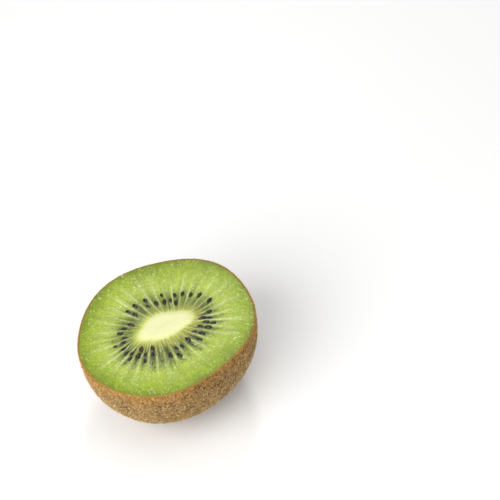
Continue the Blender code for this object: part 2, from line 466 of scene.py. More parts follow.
@dataclass(frozen=True)
class FleshFinish:
    """Wet, slightly clear flesh: cream core, dusky seed ring, pale rays and grainy outer flesh."""

    # Colour along the way from the core's middle (-1) to the rim (1).
    bands: tuple[tuple[float, Colour], ...] = (
        (-1.0, shade(230, 230, 178)),
        (-0.3, shade(229, 230, 175)),
        (-0.14, shade(222, 225, 158)),
        (-0.03, shade(198, 205, 112)),
        (0.05, shade(150, 158, 58)),
        (0.1, shade(124, 136, 42)),
        (0.25, shade(116, 134, 42)),
        (0.42, shade(150, 168, 60)),
        (0.6, shade(164, 183, 66)),
        (0.78, shade(152, 173, 46)),
        (0.92, shade(138, 160, 32)),
        (1.0, shade(122, 140, 22)),
    )
    ray: Colour = shade(206, 220, 146)
    dusk: Colour = shade(40, 32, 33)
    olive: Colour = shade(156, 150, 46)
    # The colour of the painted highlights, the glints of the wet juice.
    painted_glint: Colour = shade(244, 250, 222)
    skin_line: Colour = shade(158, 110, 50)

    # Noises that follow the rays, and noises that don't.
    streaks: Grain = Grain(1.0, 3.0, 0.6, (15.0, 15.0, 1.6))
    threads: Grain = Grain(1.0, 2.0, 0.6, (42.0, 42.0, 2.4))
    patches: Grain = Grain(1.0, 2.0, 0.6, (20.0, 20.0, 9.0))
    dashes: Grain = Grain(1.0, 1.0, 0.5, (76.0, 76.0, 17.0))
    broad: Grain = Grain(180.0)
    mottles: Grain = Grain(850.0, 3.0, 0.65)
    grain: Grain = Grain(1500.0, 3.0, 0.6)
    fine: Grain = Grain(2900.0, 2.0, 0.6)

    tooth_reach: float = 0.42
    border_drift: float = 0.08
    olive_share: float = 0.65
    streak_share: float = 0.8
    crowding: float = 0.2
    grain_depth: float = 0.12 * MM
    fine_depth: float = 0.07 * MM

    def material(self) -> Material:
        """The flesh's material, which reads the vectors face_map and tint."""
        made = Dressing("wet_flesh")
        place = made.place()
        face_map = made.attribute("face_map")
        way = made.parts(face_map)[2]
        ray, dusk, olive = made.parts(made.attribute("tint"))
        along = (self.streaks, self.threads, self.patches, self.dashes)
        streaks, threads, patches, dashes = (made.noise(face_map, kind) for kind in along)
        even = (self.broad, self.mottles, self.grain, self.fine)
        broad, mottles, grain, fine = (made.noise(place, kind) for kind in even)

        # The bands, with their borders broken up into radial teeth.
        teeth = made.times(made.plus(-0.5, streaks), self.tooth_reach)
        shift = made.plus(teeth, made.plus(-0.5, broad), self.border_drift)
        stops = [((at + 1.0) / 2.0, colour) for at, colour in self.bands]
        base = made.ramp(made.span(made.plus(way, shift), -1.0, 1.0, kind="LINEAR"), stops)
        base = made.mix(made.times(olive, self.olive_share), base, self.olive)

        # Radial streaks, the mottled dusk of the chambers, and the pale rays over them.
        in_flesh = made.span(way, -0.02, 0.08)
        streaky = made.toned(base, streaks, 0.3, 0.7, 0.80, 1.16)
        base = made.mix(made.times(in_flesh, self.streak_share), base, streaky)
        clear = made.times(made.span(threads, 0.34, 0.66, 1.22, 0.42), made.span(grain, 0.3, 0.7, 1.1, 0.7))
        base = made.mix(made.times(dusk, clear), base, self.dusk)
        base = made.mix(made.times(ray, made.span(patches, 0.32, 0.68, 0.42, 1.0)), base, self.ray)
        speckle = made.plus(made.times(grain, 0.4), fine, 0.6)
        base = made.mix(in_flesh, base, made.toned(base, speckle, 0.33, 0.67, 0.76, 1.24))
        outer = made.span(way, 0.5, 0.95)
        base = made.mix(outer, base, made.toned(base, mottles, 0.3, 0.62, 0.82, 1.05))
        base = made.mix(outer, base, made.toned(base, broad, 0.36, 0.58, 0.84, 1.05))

        # Painted highlights: the glints of the wet juice are painted into the colour as pale specks and
        # short dashes that crowd in patches and along the rays.
        crowded = made.plus(made.span(mottles, 0.42, 0.66, 0.0, 0.7), ray, 0.9)
        crowded = made.plus(crowded, made.span(way, 0.3, 0.85, 0.0, 0.2))
        painted_glints = made.most(made.span(fine, 0.56, 0.82), made.span(dashes, 0.56, 0.82))
        painted_glints = made.span(made.plus(painted_glints, crowded, self.crowding), 0.5, 0.86, 0.0, 0.7)
        base = made.mix(made.times(painted_glints, made.span(way, 0.08, 0.22)), base, self.painted_glint)
        edge = made.span(made.plus(way, speckle, 0.14), 1.057, 1.068)
        base = made.mix(edge, base, self.skin_line)

        low = made.bump(made.plus(grain, streaks, 0.8), self.grain_depth)
        made.set(
            base_color=base,
            roughness=0.42,
            ior=1.38,
            subsurface_weight=0.2,
            subsurface_radius=(1.0, 1.0, 0.35),
            subsurface_scale=0.4 * MM,
            coat_weight=0.45,
            coat_roughness=0.12,
            coat_ior=1.33,
            normal=low,
            coat_normal=made.bump(fine, self.fine_depth, Normal=low),
        )
        return made.material


@dataclass(frozen=True)
class SkinFinish:
    """Thin, dull brown skin, mottled and finely wrinkled under the fuzz."""

    dark: Colour = shade(80, 52, 24)
    light: Colour = shade(182, 140, 80)
    cut_edge: Colour = shade(164, 110, 50)
    cut_flesh: Colour = shade(146, 156, 52)
    dot: Colour = shade(70, 46, 24)
    broad: Grain = Grain(300.0, 4.0, 0.6, (1.0, 1.0, 0.5))
    fine: Grain = Grain(3000.0, 3.0, 0.7, (1.0, 1.0, 0.4))
    dot_scale: float = 420.0
    dot_share: float = 0.7
    edge_heights: Pair = (30.9 * MM, 31.3 * MM)
    flesh_heights: Pair = (31.0 * MM, 31.18 * MM)
    flesh_share: float = 0.3
    depth: float = 0.16 * MM

    def material(self) -> Material:
        """The skin's material."""
        made = Dressing("dull_skin")
        place = made.place()
        broad, fine = made.noise(place, self.broad), made.noise(place, self.fine)
        base = made.mix(made.span(made.plus(fine, broad, 0.5), 0.6, 0.92), self.dark, self.light)
        distance, own = made.cells(place, self.dot_scale)
        dots = made.times(made.span(distance, 0.28, 0.12), made.span(made.parts(own)[1], 0.6, 0.7))
        base = made.mix(made.times(dots, self.dot_share), base, self.dot)

        # The cut edge is orange-brown, with a little of the flesh's colour at its very top.
        height = made.parts(place)[2]
        edge = made.span(made.plus(height, fine, 0.6 * MM), *self.edge_heights)
        base = made.mix(edge, base, self.cut_edge)
        upper = made.span(made.plus(height, broad, 0.5 * MM), *self.flesh_heights)
        base = made.mix(made.times(upper, self.flesh_share), base, self.cut_flesh)
        bumps = made.bump(made.plus(fine, broad), self.depth)
        made.set(base_color=base, roughness=0.85, specular_ior_level=0.25, normal=bumps)
        return made.material


@dataclass(frozen=True)
class FuzzFinish:
    """Fine dry hairs, each tuft with its own tone from brown to pale gold."""

    dark: Colour = shade(112, 80, 40)
    middle: Colour = shade(230, 190, 121)
    light: Colour = shade(255, 242, 192)
    # A pale gold for the hairs near the cut: partly their own tint, partly painted light that makes the top
    # of the skin brighter.
    golden: Colour = shade(250, 182, 84)
    golden_heights: Pair = (25.0 * MM, 31.0 * MM)
    golden_share: float = 0.48

    def material(self) -> Material:
        """The hairs' material, which reads the vector hair: tone of tuft, place along it, own tone."""
        made = Dressing("dry_fuzz")
        tone, along, own = made.parts(made.attribute("hair"))
        base = made.ramp(tone, ((0.0, self.dark), (0.5, self.middle), (1.0, self.light)))
        # Towards the cut the hairs are mixed to a pale gold, partly their tint and partly painted light on
        # the top of the skin.
        height = made.parts(made.place())[2]
        gold_and_top_light = made.span(height, *self.golden_heights, 0.0, self.golden_share)
        base = made.toned(made.mix(gold_and_top_light, base, self.golden), along, 0.0, 0.8, 0.66, 1.16)
        base = made.toned(base, own, 0.0, 1.0, 0.34, 1.64)
        made.set(base_color=base, roughness=0.8, specular_ior_level=0.15)
        return made.material


@dataclass(frozen=True)
class SeedFinish:
    """Nearly black, glossy seed coats with dark brown patches, under a film of juice."""

    dark: Colour = shade(18, 7, 5)
    light: Colour = shade(66, 33, 24)
    patches: Grain = Grain(900.0, 3.0, 0.6)
    pit_scale: float = 5200.0
    pit_depth: float = 0.03 * MM

    def material(self) -> Material:
        """The seeds' material."""
        made = Dressing("glossy_seed")
        place = made.place()
        patches = made.span(made.noise(place, self.patches), 0.4, 0.7)
        made.set(
            base_color=made.mix(patches, self.dark, self.light),
            roughness=0.5,
            specular_ior_level=0.15,
            coat_weight=1.0,
            coat_roughness=0.08,
            normal=made.bump(made.cells(place, self.pit_scale)[0], self.pit_depth),
        )
        return made.material


@dataclass(frozen=True)
class StemFinish:
    """Dry, cracked wood-brown stalk end with a paler scar."""

    dark: Colour = shade(62, 40, 22)
    light: Colour = shade(144, 106, 62)
    scar: Colour = shade(172, 140, 92)
    scar_reach: Pair = (2.45 * MM, 1.85 * MM)
    raggedness: float = 1.6 * MM
    cracks: Grain = Grain(1700.0, 4.0, 0.7, (1.0, 1.0, 0.4))
    ragged: Grain = Grain(900.0, 4.0, 0.75)
    depth: float = 0.2 * MM

    def material(self, middle: Pair) -> Material:
        """The stalk end's material.

        Args:
            middle: x and y of the stalk's axis.

        Returns:
            The material, with its scar round that axis.
        """
        made = Dressing("dry_stalk")
        place = made.place()
        centred = made.node("Mapping", {"Vector": place, "Location": (-middle[0], -middle[1], 0.0)})
        flat = made.stretched(centred.outputs[0], (1.0, 1.0, 0.0))
        radius = made.node("VectorMath", {0: flat}, operation="LENGTH").outputs["Value"]
        cracks = made.noise(place, self.cracks)
        base = made.mix(made.span(cracks, 0.35, 0.65), self.dark, self.light)
        reach = made.plus(radius, made.noise(place, self.ragged), self.raggedness)
        inside = made.times(made.span(reach, *self.scar_reach), made.span(cracks, 0.3, 0.6, 0.25, 0.9))
        base = made.mix(inside, base, self.scar)
        made.set(base_color=base, roughness=0.9, normal=made.bump(cracks, self.depth))
        return made.material


@dataclass(frozen=True)
class FloorFinish:
    """Plain pale studio floor."""

    pale: Colour = (0.96, 0.96, 0.955, 1.0)

    def material(self) -> Material:
        """The floor's material."""
        made = Dressing("pale_floor")
        made.set(base_color=self.pale, roughness=0.9, specular_ior_level=0.1)
        return made.material


def new_piece(name: str, mesh: Mesh, material: Material) -> Piece:
    """Puts a mesh in the scene as a smooth piece with one material.

    Args:
        name: the piece's name.
        mesh: its mesh.
        material: its material.

    Returns:
        The piece.
    """
    piece = bpy.data.objects.new(name, mesh)
    bpy.context.scene.collection.objects.link(piece)
    mesh.materials.clear()
    mesh.materials.append(material)
    mesh.shade_smooth()
    return piece


def hand_over(piece: Piece, stands_for: bool = False) -> None:
    """Lets a finished piece ride on the solid's body, and reports it.

    Args:
        piece: the finished piece.
        stands_for: whether it is shown in place of the solid.
    """
    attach(piece, BODY)
    if stands_for:
        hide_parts(NODE)
    LOG.info("%s: %d faces", piece.name, len(piece.data.polygons))


def settled(name: str, shape: bmesh.types.BMesh) -> Mesh:
    """Makes a mesh of an edited shape, and frees the shape."""
    mesh = bpy.data.meshes.new(name)
    shape.to_mesh(mesh)
    shape.free()
    return mesh


def spun(name: str, profile: Sequence[Pair], steps: int) -> Mesh:
    """Turns a profile of (radius, height) once round Z to a closed mesh.

    Args:
        name: the mesh's name.
        profile: its points in order; both ends lie on the axis, or it comes back to its start.
        steps: how many steps round.

    Returns:
        The mesh, with its seam and poles merged and its faces outwards.
    """
    blank = bmesh.new()
    points = [blank.verts.new((radius, 0.0, height)) for radius, height in profile]
    line = [blank.edges.new(pair) for pair in zip(points, points[1:])]
    bmesh.ops.spin(
        blank,
        geom=points + line,
        cent=(0.0, 0.0, 0.0),
        axis=(0.0, 0.0, 1.0),
        angle=math.tau,
        steps=steps,
        use_merge=True,
    )
    bmesh.ops.remove_doubles(blank, verts=blank.verts, dist=0.0001 * MM)
    bmesh.ops.recalc_face_normals(blank, faces=blank.faces)
    return settled(name, blank)


def points_of(mesh: Mesh) -> np.ndarray:
    """A mesh's points as N rows of x, y, z."""
    flat = np.empty(len(mesh.vertices) * 3, np.float32)
    mesh.vertices.foreach_get("co", flat)
    return flat.reshape(-1, 3).astype(float)


def reshape(mesh: Mesh, points: np.ndarray) -> None:
    """Moves a mesh's points."""
    mesh.vertices.foreach_set("co", points.astype(np.float32).ravel())
    mesh.update()


def keep_vector(mesh: Mesh, name: str, values: np.ndarray) -> None:
    """Keeps one vector a point on a mesh, for its material to read."""
    attribute = mesh.attributes.new(name, "FLOAT_VECTOR", "POINT")
    attribute.data.foreach_set("vector", values.astype(np.float32).ravel())


def repeated(name: str, template: Mesh, points: np.ndarray) -> Mesh:
    """Joins many copies of a small shape into one mesh.

    Args:
        name: the mesh's name.
        template: the small shape.
        points: for each copy, the places of the template's points, as copies x points x 3.

    Returns:
        The joined mesh.
    """
    copies, count, _ = points.shape
    corners = np.empty(len(template.loops), np.int32)
    template.loops.foreach_get("vertex_index", corners)
    starts = np.empty(len(template.polygons), np.int32)
    template.polygons.foreach_get("loop_start", starts)
    order = np.arange(copies)[:, None]
    mesh = bpy.data.meshes.new(name)
    mesh.vertices.add(copies * count)
    mesh.loops.add(copies * len(corners))
    mesh.polygons.add(copies * len(starts))
    mesh.loops.foreach_set("vertex_index", (corners + order * count).astype(np.int32).ravel())
    mesh.polygons.foreach_set("loop_start", (starts + order * len(corners)).astype(np.int32).ravel())
    mesh.vertices.foreach_set("co", points.astype(np.float32).ravel())
    mesh.update(calc_edges=True)
    return mesh


@dataclass(frozen=True)
class RayKind:
    """How rays of one kind are drawn: where they lie past a wall, how strong, long and wide they are."""

    past_wall: Pair
    strength: Pair
    reach: Pair
    width: float

    def line(self, wall: int, draw: random.Random) -> tuple[float, float, float, float]:
        """Draws one ray: its place in chambers, its strength, its reach and its width."""
        limits = (self.past_wall, self.strength, self.reach)
        past_wall, strength, reach = (draw.uniform(*pair) for pair in limits)
        return wall + past_wall, strength, reach, self.width


@dataclass
class CutFlesh:
    """The flesh and core: a dense cut face with its relief, closed under the skin."""

    form: FruitForm
    seeds: list[SeedPlace]
    steps: int = 720
    core_rings: int = 18
    flesh_rings: int = 68
    inner_rings: int = 10
    skin_gap: float = 0.55 * MM
    cell_height: float = 0.045 * MM
    cell_size: float = 0.55 * MM
    groove_turns: float = 22.0
    ray_height: float = 0.05 * MM
    seed_bed_height: float = 0.09 * MM
    wall_ray: RayKind = RayKind((-0.12, 0.12), (0.4, 0.95), (0.65, 1.0), 0.07)
    thread: RayKind = RayKind((0.22, 0.78), (0.3, 0.8), (0.1, 0.32), 0.05)
    thread_counts: tuple[int, ...] = (1, 2, 2)
    ray_bend: float = 0.3
    ray_sway: Pair = (0.02, 0.07)
    ray_waves: Pair = (6.0, 12.0)
    ray_flare: float = 0.1
    halo_share: float = 0.35
    halo_width: float = 2.6
    dusk_side: float = math.radians(235.0)
    olive_side: float = math.radians(25.0)
    draw: int = 11
    finish: FleshFinish = field(default_factory=FleshFinish)

    def profile(self) -> list[Pair]:
        """(radius, height) from the middle of the cut to the middle of the closed underside."""
        form = self.form
        ways = [-1.0 + ring / self.core_rings for ring in range(self.core_rings)]
        ways += [ring / self.flesh_rings for ring in range(self.flesh_rings + 1)]
        face = [(form.flat_radius * (way + 1.0) / 2.0, form.height) for way in ways]
        under = form.dome(self.inner_rings, self.skin_gap)[1:-1]
        floor = form.hollow_depth + self.skin_gap + 0.05 * MM
        return [*face, *under, (form.foot_radius - self.skin_gap, floor), (0.0, floor)]

    def rays(self, angle: np.ndarray, way: np.ndarray) -> np.ndarray:
        """How strongly the pale walls show, and the short threads between them, from 0 to 1.

        Args:
            angle: the angles round the fruit.
            way: the ways from core to rim.

        Returns:
            One value a point.
        """
        draw = random.Random(self.draw)
        pitch = math.tau / self.form.chambers
        outward = np.clip(way, 0.0, 1.0)
        start = smooth_step(-0.08, 0.03, way)
        found = np.zeros(len(angle))
        for wall in range(self.form.chambers):
            lines = [self.wall_ray.line(wall, draw)]
            lines += [self.thread.line(wall, draw) for _ in range(draw.choice(self.thread_counts))]
            for at, strength, reach, narrow in lines:
                bend = draw.uniform(-self.ray_bend, self.ray_bend) * outward**2
                bend += draw.uniform(*self.ray_sway) * np.sin(draw.uniform(*self.ray_waves) * outward + wall)
                width = pitch * (narrow + self.ray_flare * outward)
                offset = wrapped(angle - (at + bend) * pitch) / width
                halo = self.halo_share * np.exp(-((offset / self.halo_width) ** 2))
                across = (1.0 - self.halo_share) * np.exp(-(offset**2)) + halo
                along = start * (1.0 - smooth_step(0.5 * reach, reach, way))
                found = np.maximum(found, strength * along * across)
        return found

    def duskiness(self, angle: np.ndarray, way: np.ndarray) -> np.ndarray:
        """How dark the seed ring is between its walls, from seeds that lie below the cut.

        Args:
            angle: the angles round the fruit.
            way: the ways from core to rim.

        Returns:
            One value a point, from 0 to 1.
        """
        draw = np.random.default_rng(self.draw)
        chambers = self.form.chambers
        turn = (angle / math.tau) % 1.0 * chambers
        own = np.minimum(turn.astype(int), chambers - 1)
        middles = (np.arange(chambers) + 0.5) / chambers * math.tau
        near_side = 0.5 + 0.5 * np.cos(middles - self.dusk_side)
        strength = (0.68 + 0.36 * near_side) * draw.uniform(0.65, 1.1, chambers)
        start = draw.uniform(0.03, 0.09, chambers) + 0.05 * near_side
        end = 0.36 + 0.13 * near_side + draw.uniform(-0.04, 0.06, chambers)
        across = 0.4 + 0.6 * np.exp(-(((turn - own - 0.5) / 0.32) ** 2))
        along = smooth_step(start[own] - 0.05, start[own] + 0.08, way)
        along = along * (1.0 - smooth_step(end[own] - 0.2, end[own] + 0.08, way))
        found = strength[own] * across * along
        for chamber in range(chambers):
            spots = 2 + int(draw.uniform() < 2.0 * near_side[chamber] - 0.5)
            for spot in range(spots):
                at = middles[chamber] + draw.uniform(-0.2, 0.2) * math.tau / chambers
                out = 0.16 + 0.1 * spot + 0.08 * draw.uniform() + 0.05 * near_side[chamber]
                found = np.maximum(found, draw.uniform(0.4, 1.0) * self.spot(angle, way, at, out))
        return np.clip(found, 0.0, 1.0)

    def spot(self, angle: np.ndarray, way: np.ndarray, at: float, out: float) -> np.ndarray:
        """A soft oval spot in the ring.

        Args:
            angle: the angles round the fruit.
            way: the ways from core to rim.
            at: the angle of the spot's middle.
            out: the way at its middle.

        Returns:
            One value a point, 1 at the middle.
        """
        across = wrapped(angle - at) * (8.0 + 16.0 * out) / 0.6
        along = (way - out) / 0.055
        return np.exp(-(across**2) - along**2)

    def seed_beds(self, flat: np.ndarray) -> np.ndarray:
        """How far the flesh swells up round each seed, 1 along the seed's own outline."""
        found = np.zeros(len(flat))
        for seed in self.seeds:
            here = seed.middle(self.form)
            heading = seed.heading(self.form)
            outward = np.array([math.cos(heading), math.sin(heading)])
            near = np.flatnonzero(np.abs(flat - here).max(axis=1) < 2.2 * MM)
            offset = flat[near] - here
            along = offset @ outward / (SeedRing.length / 2.0 * seed.size)
            across = offset @ np.array([-outward[1], outward[0]]) / (SeedRing.width / 2.0 * seed.size)
            ring = np.exp(-(((np.hypot(along, across) - 1.05) / 0.28) ** 2))
            found[near] = np.maximum(found[near], ring)
        return found

    def build(self) -> Piece:
        """Spins the blank, warps it to the fruit and keeps what its material reads."""
        form = self.form
        mesh = spun("cut_flesh", self.profile(), self.steps)
        blank = points_of(mesh)
        angle, radius = polar(blank)
        top = blank[:, 2] > form.height - 0.01 * MM
        way = np.where(top, 2.0 * radius / form.flat_radius - 1.0, 1.0)
        flat = form.cut(angle, way)
        rays = self.rays(angle, way)
        dusk = self.duskiness(angle, way)

        in_flesh = smooth_step(-0.1, 0.1, way) * (1.0 - smooth_step(0.95, 0.995, way))
        cells = noise_at(np.column_stack([flat, way * 0.0]), self.cell_size)
        around = np.column_stack([np.cos(angle), np.sin(angle)]) * self.groove_turns
        grooves = noise_at(np.column_stack([around, way * 2.0]), 1.0)
        lift = form.relief(angle, way)
        lift += in_flesh * (self.cell_height * (cells + 0.6 * grooves) + self.ray_height * rays)
        lift += self.seed_bed_height * self.seed_beds(flat)

        points = form.side(angle, radius, blank[:, 2])
        face = np.column_stack([flat - form.middle(), form.height + lift])
        reshape(mesh, np.where(top[:, None], face, points))
        keep_vector(mesh, "face_map", np.column_stack([np.cos(angle), np.sin(angle), way]))
        near_side = np.clip(0.5 - 0.75 * np.sin(angle - self.olive_side), 0.0, 1.0)
        olive = near_side * smooth_step(-0.02, 0.05, way) * (1.0 - smooth_step(0.1, 0.22, way))
        keep_vector(mesh, "tint", np.column_stack([rays, dusk, olive]))
        return new_piece("cut_flesh", mesh, self.finish.material())


@dataclass
class SkinShell:
    """The thin skin: its cut edge, the dome, the flat spot and the stem's hollow."""

    form: FruitForm
    steps: int = 504
    edge_rings: int = 5
    dome_rings: int = 84
    inner_rings: int = 10
    thickness: float = 0.5 * MM
    wrinkle_height: float = 0.05 * MM
    wrinkle_size: float = 1.1 * MM
    rim_wear: float = 0.13 * MM
    finish: SkinFinish = field(default_factory=SkinFinish)

    def profile(self) -> list[Pair]:
        """(radius, height) of the outside, then back up the inside to the start."""
        form = self.form
        edge = []
        for ring in range(self.edge_rings):
            turn = math.pi / 2.0 * ring / self.edge_rings
            radius = form.flat_radius + form.edge_radius * math.sin(turn)
            edge.append((radius, form.height - form.edge_radius * (1.0 - math.cos(turn))))
        dome = form.dome(self.dome_rings)
        span = form.foot_radius - form.foot_inner_radius
        foot = [(form.foot_radius - span * share, 0.0) for share in (0.33, 0.67, 1.0)]
        slope = form.foot_inner_radius - form.hollow_radius
        hollow = [
            (form.foot_inner_radius - slope * share, form.hollow_depth * share**1.5)
            for share in (0.3, 0.6, 1.0)
        ]
        floor = [(form.hollow_radius * share, form.hollow_depth) for share in (0.75, 0.5, 0.25, 0.0)]
        inner = form.dome(self.inner_rings, self.thickness)
        under = (0.0, form.hollow_depth + self.thickness)
        ledge = (inner[-1][0], form.hollow_depth + self.thickness)
        return [*edge, *dome, *foot, *hollow, *floor, under, ledge, *reversed(inner[1:-1]), edge[0]]

    def build(self) -> Piece:
        """Spins the shell and warps it to the fruit, finely wrinkled."""
        form = self.form
        mesh = spun("skin", self.profile(), self.steps)
        blank = points_of(mesh)
        angle, radius = polar(blank)
        places = np.column_stack([blank[:, :2], blank[:, 2] * 0.5])
        wrinkle = noise_at(places, self.wrinkle_size)
        free = smooth_step(0.0, 1.5 * MM, blank[:, 2])
        free = free * smooth_step(0.3 * MM, 1.2 * MM, form.height - blank[:, 2])
        at_rim = smooth_step(form.flat_radius, form.half_length, radius)
        at_rim = at_rim * smooth_step(form.height - 1.2 * MM, form.height - form.edge_radius, blank[:, 2])
        radius = radius + wrinkle * (free * self.wrinkle_height + at_rim * self.rim_wear)
        reshape(mesh, form.side(angle, radius, blank[:, 2]))
        return new_piece("skin", mesh, self.finish.material())


@dataclass
class SeedRing:
    """The seeds at the cut: flattened drops, half sunk and pointing at the core."""

    form: FruitForm
    seeds: list[SeedPlace]
    sides: int = 16
    rings: int = 10
    thickness: float = 1.0 * MM
    taper: float = 0.45
    showing: float = 0.12 * MM
    sunk: float = 0.3 * MM
    draw: int = 5
    finish: SeedFinish = field(default_factory=SeedFinish)

    length: ClassVar[float] = 2.15 * MM
    width: ClassVar[float] = 1.3 * MM

    def template(self) -> Mesh:
        """One seed, round at its outer end (+X) and pointed at its inner end."""
        seed = bmesh.new()
        bmesh.ops.create_uvsphere(
            seed,
            u_segments=self.sides,
            v_segments=self.rings,
            radius=1.0,
            matrix=Matrix.Rotation(math.radians(90.0), 4, "Y"),
        )
        for point in seed.verts:
            inward = (1.0 - point.co.x) / 2.0
            narrow = 1.0 - self.taper * inward**2
            point.co.x *= self.length / 2.0
            point.co.y *= self.width / 2.0 * narrow
            point.co.z *= self.thickness / 2.0 * narrow
        return settled("seed", seed)

    def build(self) -> Piece:
        """Sets a copy of the seed at each place, tilted and sunk a little by chance."""
        form = self.form
        draw = random.Random(self.draw)
        template = self.template()
        shape = points_of(template)
        copies = []
        for seed in self.seeds:
            height = form.height - form.ring_depth + self.showing
            height -= self.sunk * max(0.0, draw.uniform(-1.5, 1.0))
            place = Matrix.Translation((*(seed.middle(form) - form.middle()), height))
            tilt = Matrix.Rotation(math.radians(draw.gauss(0.0, 5.0)), 4, "Y")
            turned = place @ Matrix.Rotation(seed.heading(form), 4, "Z") @ tilt
            copies.append(moved(shape, turned @ Matrix.Scale(seed.size, 4)))
        mesh = repeated("seeds", template, np.array(copies))
        return new_piece("seeds", mesh, self.finish.material())


@dataclass(frozen=True)
class HairKind:
    """One kind of hair: how many a layer has, how they are made, and their sizes."""

    hairs: int
    bent: bool
    length: Pair
    thickness: Pair
    lift: Pair
    stray_share: float
    in_tuft: int


DOWN = HairKind(
    hairs=49000,
    bent=False,
    length=(0.35 * MM, 0.8 * MM),
    thickness=(0.045 * MM, 0.07 * MM),
    lift=(0.1, 0.45),
    stray_share=0.02,
    in_tuft=3,
)
LONG = HairKind(
    hairs=19500,
    bent=True,
    length=(0.5 * MM, 1.2 * MM),
    thickness=(0.05 * MM, 0.075 * MM),
    lift=(0.15, 0.5),
    stray_share=0.05,
    in_tuft=2,
)


@dataclass
class Fuzz:
    """One layer of the skin's hairs, matted into small tufts that lie towards the stem."""

    form: FruitForm
    number: int
    kind: HairKind
    sides: int = 3
    stray_lift: Pair = (0.5, 0.85)
    tuft_pull: float = 0.4
    tuft_tone: float = 0.32
    swirl: float = 0.35
    drift: float = 0.35
    drift_size: float = 7.0 * MM
    own_swirl: float = 0.65
    edge_reach: float = 1.3 * MM
    edge_crowding: float = 1.2
    edge_swirl: float = 1.5
    edge_strays: float = 0.22
    over_edge: float = 0.5 * MM
    over_floor: float = 0.03 * MM
    root_depth: float = 0.02 * MM
    droop: float = 0.45
    bend_width: float = 1.7
    profile_points: int = 200
    grown_share: float = 0.985
    draw: int = 3
    finish: FuzzFinish = field(default_factory=FuzzFinish)

    def template(self) -> Mesh:
        """One hair along Z from 0 to 1: a thin cone, cut once across where it is to bend."""
        hair = bmesh.new()
        bmesh.ops.create_cone(
            hair,
            cap_ends=True,
            segments=self.sides,
            radius1=0.5,
            radius2=0.0,
            depth=1.0,
            matrix=Matrix.Translation((0.0, 0.0, 0.5)),
        )
        if self.kind.bent:
            bmesh.ops.bisect_plane(
                hair,
                geom=[*hair.verts, *hair.edges, *hair.faces],
                plane_co=(0.0, 0.0, 0.5),
                plane_no=(0.0, 0.0, 1.0),
            )
        bmesh.ops.recalc_face_normals(hair, faces=hair.faces)
        for point in hair.verts:
            if 0.4 < point.co.z < 0.6:
                point.co.xy = point.co.xy * self.bend_width
        return settled("hair", hair)

    def roots(self, draw: np.random.Generator) -> tuple[np.ndarray, np.ndarray]:
        """Places for hairs, spread evenly over the skin.

        Args:
            draw: where the chance comes from.

        Returns:
            The points, and the skin's outward normals there.
        """
        form = self.form
        edge = form.flat_radius + form.edge_radius * math.sqrt(0.5)
        fillet = (edge, form.height - form.edge_radius * (1.0 - math.sqrt(0.5)))
        profile = np.array([fillet, *form.dome(self.profile_points)])
        steps = np.linalg.norm(np.diff(profile, axis=0), axis=1)
        weight = steps * (profile[1:, 0] + profile[:-1, 0]) / 2.0
        near_cut = smooth_step(form.height - self.edge_reach, form.height, profile[1:, 1])
        weight *= 1.0 + self.edge_crowding * near_cut
        reach = np.concatenate([[0.0], np.cumsum(weight)])
        share = draw.uniform(0.0, self.grown_share, self.kind.hairs) * reach[-1]
        at = np.interp(share, reach, np.arange(len(profile)))
        angle = draw.uniform(0.0, math.tau, self.kind.hairs)

        def skin(turn: np.ndarray, step: np.ndarray) -> np.ndarray:
            """The skin's points at angles and at steps down the dome."""
            rows = np.arange(len(profile))
            radius = np.interp(step, rows, profile[:, 0])
            return form.side(turn, radius, np.interp(step, rows, profile[:, 1]))

        here = skin(angle, at)
        round_it = skin(angle + 0.01, at) - here
        down_it = skin(angle, at + 0.5) - skin(angle, at - 0.5)
        normal = np.cross(down_it, round_it)
        normal /= np.linalg.norm(normal, axis=1)[:, None]
        return here, normal

    def tufts(self, root: np.ndarray) -> np.ndarray:
        """The tuft of each hair, as the number of the hair that the tuft gathers round."""
        count = len(root) // self.kind.in_tuft
        tree = KDTree(count)
        for number, point in enumerate(root[:count]):
            tree.insert(point, number)
        tree.balance()
        return np.array([tree.find(point)[1] for point in root])

    def build(self) -> Piece:
        """Grows the hairs from their roots and joins them to one piece."""
        draw = np.random.default_rng(self.draw * 100 + self.number)
        kind = self.kind
        template = self.template()
        shape = points_of(template)
        root, normal = self.roots(draw)
        count = len(root)

        # Each tuft has its own direction, tone and lift.
        tuft = self.tufts(root)
        centre = root[: tuft.max() + 1]
        tuft_turn = self.swirl * draw.normal(0.0, 1.0, len(centre))
        tuft_turn += self.drift * noise_at(centre, self.drift_size)
        tuft_tone = np.clip(0.5 + draw.normal(0.0, self.tuft_tone, len(centre)), 0.0, 1.0)
        tuft_lift = draw.uniform(*kind.lift, len(centre))

        down = normal * normal[:, 2:3] - np.array([0.0, 0.0, 1.0])
        down /= np.maximum(np.linalg.norm(down, axis=1), 1e-6)[:, None]
        side = np.cross(normal, down)
        near_cut = smooth_step(self.form.height - self.edge_reach, self.form.height, root[:, 2])
        turn = tuft_turn[tuft] + draw.normal(0.0, 1.0, count) * (self.own_swirl + self.edge_swirl * near_cut)
        heading = down * np.cos(turn)[:, None] + side * np.sin(turn)[:, None]
        across = np.cross(normal, heading)
        length = draw.uniform(*kind.length, count)
        width = draw.uniform(*kind.thickness, count)
        lift = tuft_lift[tuft] * draw.uniform(0.7, 1.3, count)
        stray = draw.uniform(0.0, 1.0, count) < kind.stray_share + self.edge_strays * near_cut**3
        lift = np.where(stray, draw.uniform(*self.stray_lift, count), lift)

        tip = heading * length[:, None]
        pull = (centre[tuft] - root) * self.tuft_pull
        pull -= normal * (pull * normal).sum(axis=1)[:, None]

